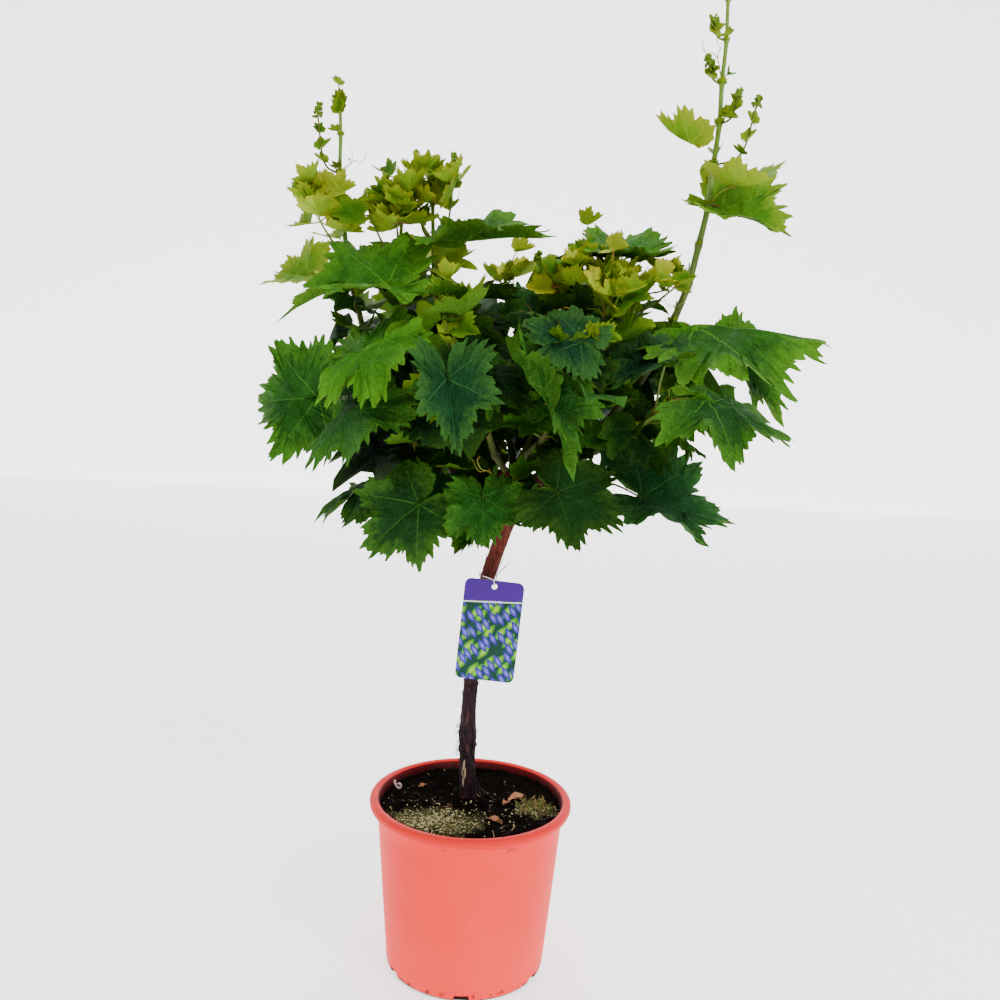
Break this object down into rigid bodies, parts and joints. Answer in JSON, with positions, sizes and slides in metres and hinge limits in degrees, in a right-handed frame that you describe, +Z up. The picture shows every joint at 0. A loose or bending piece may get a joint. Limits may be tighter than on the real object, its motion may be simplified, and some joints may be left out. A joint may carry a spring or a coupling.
{
  "type": "potted grapevine",
  "caption": "Young grapevine trained as a small standard in a round nursery pot, with a knotted head, leafy shoots and a plant label wired to its trunk.",
  "frame": {"origin": "centre of the pot's flat underside", "axes": "+Z up; -Y is the side the label and the front leaves face; +X is towards the tallest shoot"},
  "size_m": [0.5111, 0.3472, 0.9408],
  "materials": {
    "pot": "satin",
    "soil": "matte",
    "bark": "matte",
    "cane": "matte",
    "foliage": "satin",
    "label": "gloss",
    "wire": "satin"
  },
  "bodies": {
    "root": {"pot": "pot", "soil": "soil", "trunk": "bark", "arm_left": "bark", "arm_right": "bark", "cane_right_tall": "cane", "foliage_right_tall": "foliage", "cane_left_twin": "cane", "foliage_left_twin": "foliage", "cane_left_mid": "cane", "foliage_left_mid": "foliage", "cane_middle": "cane", "foliage_middle": "foliage", "cane_front": "cane", "foliage_front": "foliage", "cane_front_right": "cane", "foliage_front_right": "foliage", "cane_upper_mid": "cane", "foliage_upper_mid": "foliage", "cane_upper_right": "cane", "foliage_upper_right": "foliage", "cane_right_back": "cane", "foliage_right_back": "foliage", "cane_right_front": "cane", "foliage_right_front": "foliage", "cane_low_right": "cane", "foliage_low_right": "foliage", "cane_low_left": "cane", "foliage_low_left": "foliage", "cane_left": "cane", "foliage_left": "foliage", "cane_low_front": "cane", "foliage_low_front": "foliage", "cane_low_back_left": "cane", "foliage_low_back_left": "foliage", "cane_low_back": "cane", "foliage_low_back": "foliage", "cane_low_back_right": "cane", "foliage_low_back_right": "foliage", "cane_back_left": "cane", "foliage_back_left": "foliage", "cane_back": "cane", "foliage_back": "foliage", "cane_back_right": "cane", "foliage_back_right": "foliage", "label": "label", "label_wire": "wire"}
  },
  "joints": []
}
